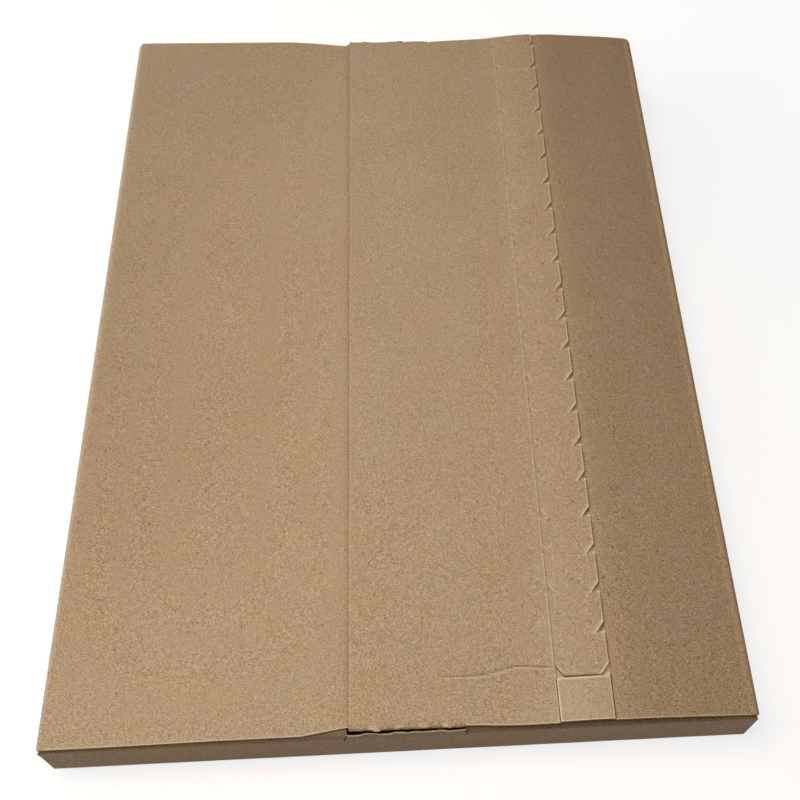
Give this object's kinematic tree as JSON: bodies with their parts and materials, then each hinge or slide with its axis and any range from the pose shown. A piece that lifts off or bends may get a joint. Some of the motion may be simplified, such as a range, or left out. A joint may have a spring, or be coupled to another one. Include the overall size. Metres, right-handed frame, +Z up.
{
  "type": "shallow cardboard folding carton",
  "caption": "Shallow closed mailing carton folded from one sheet of thin corrugated board, with an overlapping lid, tuck tabs and a zipper tear strip with a pull tab.",
  "frame": {"origin": "middle of the base's outer face, on the surface that the carton lies on", "axes": "+X across the carton towards the tear strip's side, +Y along its length away from the pull tab's end, +Z up through the lid"},
  "size_m": [0.313, 0.432, 0.0391],
  "materials": {
    "kraft_board": "matte, uncoated recycled kraft"
  },
  "bodies": {
    "root": {"folded_carton": "kraft_board"}
  },
  "joints": []
}
